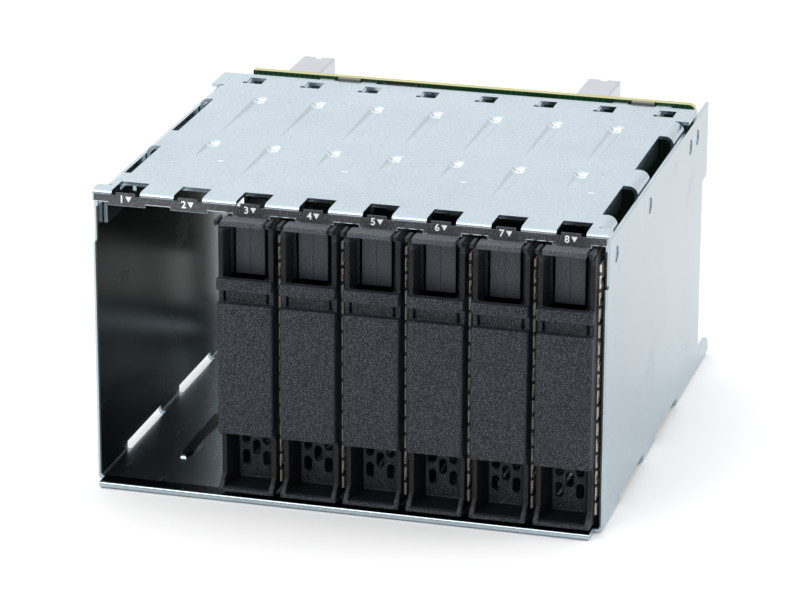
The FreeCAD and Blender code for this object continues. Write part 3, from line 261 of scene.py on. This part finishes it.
def tongueShade(finish):
    # A dark line up each tongue's middle, and painted shade on the foot that grows darker towards the
    # hinge.
    across, deep, up = (finish.place.part(axis) for axis in "XYZ")
    turn = across.repeated(latches["middle"] - pitch / 2, pitch) - 0.5
    line = 1 - turn.math("ABSOLUTE").between(0.004, 0.011)
    behind = deep.between(-2 * mm, -1 * mm)
    foot = 1 - up.between(latches["foot"], latches["foot"] + 7 * mm)
    return (line * 0.55).math("MAXIMUM", foot * 0.8) * behind


def plainMetal(name, bright, dull, rough, metal=1.0, slots=None):
    # Pressed strip or turned steel: short brushed lines and a cloudy sheen;
    # slots give dark gaps up a strip, and painted shade covers each strip's face but a narrow band at
    # its left edge.
    finish = Finish(name, Metallic=metal)
    clouds = finish.noise(120, 3.0)
    lines = finish.noise(1.0, 2.0, place=finish.stretched((300, 300, 3000)))
    colour = finish.blend(clouds * 0.6 + lines * 0.4, dull, bright)
    if slots:
        gap = finish.place.part("Z").repeated(0, slots["step"]).between(0.76, 0.80)
        # painted shade on each strip's face, all but about 0.4 to 0.5 mm at its left edge
        inward = finish.place.part("X").repeated(slots["edge"], pitch) * pitch
        dark = gap.math("MAXIMUM", inward.between(0.40 * mm, 0.50 * mm))
        colour = finish.blend(dark * 0.93, colour, (0.01, 0.01, 0.01))
    finish.put("Base Color", colour)
    finish.put("Roughness", rough + clouds * 0.12)
    finish.put("Normal", finish.bump(lines, 0.02 * mm, 0.2))
    return finish.material


def circuitBoard(name, front, rear):
    # Glass-fibre edge with fine layer lines; green lacquer with bundles of copper tracks on both faces,
    # each track a step of the fraction of place / track pitch, kept where a broad noise is high.
    finish = Finish(name, Specular_IOR_Level=0.5)
    depth = finish.place.part("Y")
    face = sum((skin.between(0.12 * mm, 0.04 * mm) for skin in (depth - front, rear - depth)), 0.0)
    layers = finish.noise(1.0, 1.0, place=finish.stretched((40, 5200, 40)))
    edge = finish.blend(layers, (0.34, 0.33, 0.14), (0.60, 0.58, 0.27))
    tracks, perMetre = 0.0, 620
    for axis, patches in (("X", (70, 70, 22)), ("Z", (24, 70, 80))):
        turn = (finish.place.part(axis) * perMetre).math("FRACT")
        line = turn.between(0.40, 0.50) * (1 - turn.between(0.80, 0.90))
        bundle = finish.noise(1.0, 1.0, place=finish.stretched(patches)).between(0.53, 0.54)
        tracks = (line * bundle).math("MAXIMUM", tracks)
    green = finish.blend(tracks, (0.004, 0.042, 0.016), (0.010, 0.085, 0.030))
    finish.put("Base Color", finish.blend(face, edge, green))
    finish.put("Roughness", 0.62 - face * 0.30)
    finish.put("Normal", finish.bump(tracks, 0.03 * mm, 0.3))
    return finish.material


# the cover's grooves: how many stand side by side in a row, a pitch apart about the middle, and how far
# back the middles of their round ends lie in each row
grooves = {"count": 7, "ends": (49.1 * mm, 93.1 * mm)}
# painted shade on the right wall's outer face: its least share, its gain and the heights it grows
# between
wall = {"least": 0.13, "gain": 0.26, "low": -20 * mm, "high": 70 * mm}
sheet = {
    "bright": (0.575, 0.68, 0.75), "dark": (0.31, 0.38, 0.43), "rough": 0.20,
    # painted shade inside the tray: strong on the inner walls, faint on the floor
    "dull": [
        ((trayLow.x + 0.6 * mm, trayLow.y, trayLow.z + 1.6 * mm),
         (trayHigh.x - 0.6 * mm, boardLow.y, 79 * mm), 0.94),
        ((trayLow.x + 0.6 * mm, 3 * mm, trayLow.z + 0.6 * mm),
         (trayHigh.x - 0.6 * mm, boardLow.y, trayLow.z + 1.5 * mm), 0.06)]}
# sparkle scales the painted glints
moulding = {"grain": 2900, "rough": 0.52, "sparkle": 2.4, "dark": (0.003, 0.004, 0.007),
            "light": (0.064, 0.076, 0.099)}
beyond = 80 * mm  # past the last bay on either side
# low corner, high corner and share of painted shade: the lower recess, the finger recess and the head's
# roof
hollows = [((-beyond, -4.9 * mm, 3.6 * mm), (beyond, 2.9 * mm, 19.9 * mm), 0.86),
           ((-beyond, -4.5 * mm, 62.6 * mm), (beyond, -0.6 * mm, 76.8 * mm), 0.82),
           ((-beyond, -9 * mm, 77.8 * mm), (beyond, 8 * mm, 83 * mm), 0.40)]
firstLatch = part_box("blank_3_latch")
latches = {"middle": (firstLatch[0].x + firstLatch[1].x) / 2, "foot": 60 * mm}
filmTone = {"grain": 3000, "rough": 0.55, "sparkle": 0.5, "dark": (0.035, 0.036, 0.042),
            "light": (0.21, 0.215, 0.235)}
latchTone = dict(moulding, grain=4400, sparkle=0.3, dark=(0.020, 0.023, 0.030),
                 light=(0.155, 0.175, 0.210), shade=tongueShade)
socketTone = dict(moulding, rough=0.40, sparkle=0, dark=(0.010, 0.010, 0.011), light=(0.02, 0.02, 0.022))
clipTone = dict(moulding, rough=0.50, sparkle=0, dark=(0.16, 0.16, 0.15), light=(0.26, 0.26, 0.25))
# the contact slots: how far apart they lie up a strip, and where the first strip's left edge is, where
# the narrow band free of painted shade begins
contacts = {"step": 4.6 * mm, "edge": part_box("blank_3_spring_strip")[0].x - 0.01 * mm}
finishes = {
    "galvanised_steel": galvanisedSteel("zincCoatedSheet", dict(sheet, dull=[])),
    "spring_steel": plainMetal("springStrip", (0.95, 0.90, 0.84), (0.82, 0.77, 0.72), 0.40,
                               0.2, contacts),
    "bracket_steel": plainMetal("bracketSheet", (0.60, 0.62, 0.67), (0.47, 0.48, 0.52), 0.34),
    "fastener_steel": plainMetal("rivetSteel", (0.46, 0.52, 0.56), (0.36, 0.41, 0.45), 0.30),
    "black_plastic": mouldedPlastic("blankMoulding", dict(moulding, hollows=hollows)),
    "label_film": mouldedPlastic("labelFilm", filmTone),
    "circuit_board": circuitBoard("lacqueredBoard", boardLow.y, boardHigh.y),
    "connector_black": mouldedPlastic("connectorMoulding", socketTone),
    "clip_grey": mouldedPlastic("clipMoulding", clipTone),
}
# the tray's own copy of the sheet, carrying the painted shade inside it
special = {"cage_tray": galvanisedSteel("traySheet", sheet)}
latchPlastic = mouldedPlastic("latchMoulding", latchTone)
for bay in blanks:
    special["blank_%d_latch" % bay] = latchPlastic


def numberInkGlow():
    # White screen-printed ink with a slightly uneven film and a faint painted glow.
    finish = Finish("numberInkGlow", Roughness=0.55)
    film = finish.noise(1500, 2.0)
    finish.put("Base Color", finish.blend(film, (0.88, 0.89, 0.89), (0.96, 0.97, 0.97)))
    # painted glow: the ink gives off a little light of its own
    finish.put("Emission Color", (1.0, 1.0, 1.0))
    finish.put("Emission Strength", 0.22)
    return finish.material


for name, node in frame["nodes"].items():
    for slot in node.material_slots:
        slot.material = special.get(name) or finishes[slot.material.name.split(".")[0]]
print("finishes on", len(frame["nodes"]), "nodes")


# ---- edges of the moulded pieces ----

def softened(node, name, width):
    # A merged copy of a node whose sharp edges are rounded off; flat faces become single faces first.
    source = frame["nodes"][node]
    mesh = source.data.copy()
    shape = bmesh.new()
    shape.from_mesh(mesh)
    bmesh.ops.remove_doubles(shape, verts=shape.verts, dist=0.002 * mm)
    bmesh.ops.dissolve_limit(shape, angle_limit=math.radians(0.3), verts=shape.verts,
                             edges=shape.edges, delimit={"NORMAL"})
    for face in shape.faces:
        face.smooth = True
    shape.to_mesh(mesh)
    shape.free()
    piece = bpy.data.objects.new(name, mesh)
    bpy.context.scene.collection.objects.link(piece)
    rounding = piece.modifiers.new("rounding", "BEVEL")
    rounding.width = width
    rounding.segments = 2
    rounding.limit_method = "ANGLE"
    rounding.angle_limit = math.radians(32)
    rounding.use_clamp_overlap = False
    rounding.harden_normals = True
    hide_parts(node)
    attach(piece, source["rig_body"])
    return piece


edgeWidths = {"housing": 0.28 * mm, "latch": 0.16 * mm}
for bay in blanks:
    for part, width in edgeWidths.items():
        piece = softened("blank_%d_%s" % (bay, part), "blank_%d_soft_%s" % (bay, part), width)
print("softened mouldings")


# ---- bay numbers and arrows on the strip ----

def meshFromText(text, size):
    # An outline of one printed figure, as a flat mesh, centred on its own middle.
    curve = bpy.data.curves.new("figure", "FONT")
    curve.body = text
    curve.size = size
    curve.offset = 0.020 * size
    figure = bpy.data.objects.new("figure", curve)
    bpy.context.scene.collection.objects.link(figure)
    bpy.context.view_layer.update()
    flat = bpy.data.meshes.new_from_object(figure.evaluated_get(bpy.context.evaluated_depsgraph_get()))
    bpy.data.objects.remove(figure)
    places = np.array([vertex.co for vertex in flat.vertices])
    faces = [list(face.vertices) for face in flat.polygons]
    middle = (places.min(0) + places.max(0)) / 2
    return places - middle, faces


def bayNumbers(settings):
    # All figures and arrows as one thin printed film: outline corners (x, z) lifted to the strip's face.
    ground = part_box("label_strip")[0].y - settings["film"]
    places, faces = [], []
    for bay in range(settings["bays"]):
        centre = (bay - (settings["bays"] - 1) / 2) * pitch
        figure, outline = meshFromText(str(bay + 1), settings["size"])
        figure = figure[:, :2] + (centre + settings["figureShift"], settings["figureHeight"])
        half, tall = settings["arrowWide"] / 2, settings["arrowTall"] / 2
        arrow = np.array([(-half, tall), (0, -tall), (half, tall)])
        arrow = arrow + (centre + settings["arrowShift"], settings["figureHeight"])
        for corners, loops in ((figure, outline), (arrow, [[0, 1, 2]])):
            first = sum(len(block) for block in places)
            places.append(np.column_stack([corners[:, 0], np.full(len(corners), ground), corners[:, 1]]))
            faces += [[first + corner for corner in loop] for loop in loops]
    mesh = bpy.data.meshes.new("bay_numbers")
    mesh.from_pydata(np.concatenate(places).tolist(), [], faces)
    shape = bmesh.new()
    shape.from_mesh(mesh)
    bmesh.ops.recalc_face_normals(shape, faces=shape.faces)
    for face in shape.faces:
        if face.normal.y > 0:
            face.normal_flip()
    shape.to_mesh(mesh)
    shape.free()
    mesh.materials.append(numberInkGlow())
    piece = bpy.data.objects.new("bay_numbers", mesh)
    bpy.context.scene.collection.objects.link(piece)
    thickness = piece.modifiers.new("film", "SOLIDIFY")
    thickness.thickness = settings["film"] * 0.8
    thickness.offset = -1
    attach(piece, "cage")


bayNumbers({
    "bays": 8, "size": 2.75 * mm, "film": 0.03 * mm,
    "figureShift": -1.35 * mm, "figureHeight": 82.15 * mm,
    "arrowShift": 0.62 * mm, "arrowWide": 1.65 * mm, "arrowTall": 1.55 * mm})
print("bay numbers printed")


# ---- spot marks on the cover ----

def spotMarks(settings):
    # Low lens shapes: height falls with the square of the distance r from each middle, scaled to 1 at
    # the rim, h = rise (1 - r^2); half lengths are given along X and Y.
    turns = np.linspace(0, 2 * np.pi, settings["sides"], endpoint=False)
    rings = np.array(settings["rings"])
    circle = np.column_stack([np.cos(turns), np.sin(turns)])
    places, faces = [], []
    sides = settings["sides"]
    for middle in settings["across"]:
        shell = [np.column_stack([
            middle + settings["half"][0] * ring * circle[:, 0],
            settings["along"] + settings["half"][1] * ring * circle[:, 1],
            np.full(sides, settings["ground"] + settings["rise"] * (1 - ring ** 2))]) for ring in rings]
        first = len(places) * sides * len(rings)
        places.append(np.concatenate(shell))
        corner = np.arange(sides)
        following = (corner + 1) % sides
        for ring in range(len(rings) - 1):
            inner, outer = first + ring * sides, first + (ring + 1) * sides
            faces += np.column_stack([inner + corner, outer + corner, outer + following,
                                      inner + following]).tolist()
        faces.append((first + corner).tolist())
        faces.append((first + (len(rings) - 1) * sides + corner[::-1]).tolist())
    mesh = bpy.data.meshes.new("spot_marks")
    mesh.from_pydata(np.concatenate(places).tolist(), [], faces)
    mesh.materials.append(plainMetal("spotMark", (0.92, 0.95, 0.98), (0.80, 0.84, 0.88), 0.22))
    piece = bpy.data.objects.new("spot_marks", mesh)
    bpy.context.scene.collection.objects.link(piece)
    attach(piece, "cage")


spotMarks({"across": [-45.8 * mm, -10.2 * mm, 23.5 * mm, 59.1 * mm], "along": 33.4 * mm,
           "half": (1.1 * mm, 0.35 * mm), "ground": coverHigh.z - 0.02 * mm, "rise": 0.14 * mm,
           "sides": 20, "rings": (0.05, 0.4, 0.7, 0.9, 1.0)})
print("spot marks")


# ---- floor, light and camera ----

def makeFloor(half, height, cells=8):
    # A plain pale sheet: a square grid, level everywhere.
    row = cells + 1
    steps = np.linspace(-half, half, row)
    across, along = np.meshgrid(steps, steps)
    places = np.column_stack([across.ravel(), along.ravel(), np.full(across.size, height)])
    corner = (np.arange(cells)[:, None] * row + np.arange(cells)).ravel()
    faces = np.column_stack([corner, corner + 1, corner + row + 1, corner + row])
    mesh = bpy.data.meshes.new("floor")
    mesh.from_pydata(places.tolist(), [], faces.tolist())
    finish = Finish("paleFloor", Roughness=0.9)
    finish.put("Base Color", finish.blend(finish.noise(3, 2.0), (0.93, 0.93, 0.93), (0.95, 0.95, 0.95)))
    mesh.materials.append(finish.material)
    floor = bpy.data.objects.new("floor", mesh)
    bpy.context.scene.collection.objects.link(floor)


def makeLight(name, place, aim, size, power):
    # A soft rectangular panel, turned to face a point.
    panel = bpy.data.lights.new(name, "AREA")
    panel.shape = "RECTANGLE"
    panel.size, panel.size_y = size
    panel.energy = power
    light = bpy.data.objects.new(name, panel)
    light.location = place
    light.rotation_mode = "QUATERNION"
    light.rotation_quaternion = (Vector(aim) - Vector(place)).to_track_quat("-Z", "Y")
    bpy.context.scene.collection.objects.link(light)


def makeCamera(settings):
    # The camera stands back from the aim point along its azimuth and elevation, with a slight roll.
    turn, rise = math.radians(settings["azimuth"]), math.radians(settings["elevation"])
    back = Vector((math.sin(turn) * math.cos(rise), -math.cos(turn) * math.cos(rise), math.sin(rise)))
    lens = bpy.data.cameras.new("camera")
    lens.sensor_width = 36
    lens.lens = settings["lens"]
    lens.clip_start, lens.clip_end = 0.05, 20
    camera = bpy.data.objects.new("camera", lens)
    camera.location = Vector(settings["aim"]) + back * settings["distance"]
    level = (-back).to_track_quat("-Z", "Y").to_matrix().to_4x4()
    camera.rotation_mode = "QUATERNION"
    roll = Matrix.Rotation(math.radians(settings["roll"]), 4, "Z")
    camera.rotation_quaternion = (level @ roll).to_quaternion()
    bpy.context.scene.collection.objects.link(camera)
    bpy.context.scene.camera = camera


def makeSky(settings):
    # White tent: bright overhead, falling off to the right, dark low down in front of the object,
    # strength = (side to overhead by height) * (1 - shade * opening) * (1 - slope * x).
    world = bpy.data.worlds.new("studio")
    world.use_nodes = True
    sky = Tree(world.node_tree)
    aim = sky.node("ShaderNodeTexCoord", {}, {}, "Generated")
    rise, front = aim.part("Z"), aim.part("Y") * -1
    overhead = rise.between(*settings["band"])
    opening = front.between(*settings["openFront"]) * (1 - rise.between(*settings["openRise"]))
    strength = settings["side"] * (1 - overhead) + settings["overhead"] * overhead
    strength = strength * (1 - opening * settings["shade"]) * (1 - aim.part("X") * settings["slope"])
    background = sky.tree.nodes["Background"]
    background.inputs["Color"].default_value = (1, 1, 1, 1)
    sky.tree.links.new(strength.socket, background.inputs["Strength"])
    bpy.context.scene.world = world


makeFloor(3.0, -0.2 * mm)
makeSky({
    "side": 1.08, "overhead": 1.30, "band": (0.40, 0.85), "openFront": (-0.05, 0.55),
    "openRise": (0.12, 0.60), "shade": 0.80, "slope": 0.28})
makeLight("keyPanel", (-0.5, -0.9, 1.1), (0, 0.05, 0.04), (0.7, 0.7), 4)
makeLight("sidePanel", (1.0, 0.25, 0.7), (0.15, 0.07, 0), (0.5, 0.5), 4)
makeCamera({
    "azimuth": 15.3666, "elevation": 19.5773, "roll": 0.1628, "distance": 1.115458,
    "aim": (-1.6087 * mm, 60 * mm, 38.6227 * mm), "lens": 177.268})
bpy.context.scene.view_settings.view_transform = "Standard"
print("camera and light")
